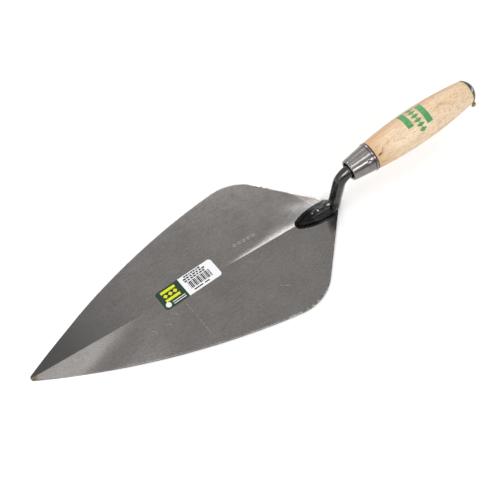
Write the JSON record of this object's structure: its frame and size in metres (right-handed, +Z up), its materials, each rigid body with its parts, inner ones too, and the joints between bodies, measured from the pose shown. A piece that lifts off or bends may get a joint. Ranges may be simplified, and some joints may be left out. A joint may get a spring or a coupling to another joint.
{
  "type": "brick trowel",
  "caption": "Pointed steel bricklaying trowel with a cranked tang, a metal ferrule and a turned wooden handle with a domed butt cap.",
  "frame": {"origin": "on the blade's flat underside, on its centre line, halfway between the tip and the point where the two heel edges would meet", "axes": "+X from the blade's tip towards the butt of the handle, +Y to the left when looking along +X, +Z up, out of the blade's upper face"},
  "size_m": [0.4079, 0.1348, 0.0674],
  "materials": {
    "blade_steel": "ground, with fine scratches along the blade",
    "black_lacquer": "glossy black lacquer over a forged surface",
    "weld_lacquer": "black lacquer over a rough weld",
    "plated_steel": "dull nickel plate with drawing lines",
    "grip_wood": "turned pale hardwood, thin clear coat",
    "cap_steel": "polished",
    "nail_brass": "tarnished",
    "label_film": "satin printed film"
  },
  "bodies": {
    "root": {"blade": "blade_steel", "tang": "black_lacquer", "weld_bead": "weld_lacquer", "ferrule": "plated_steel", "handle": "grip_wood", "butt_cap": "cap_steel", "cap_nail": "nail_brass", "label": "label_film"}
  },
  "joints": []
}
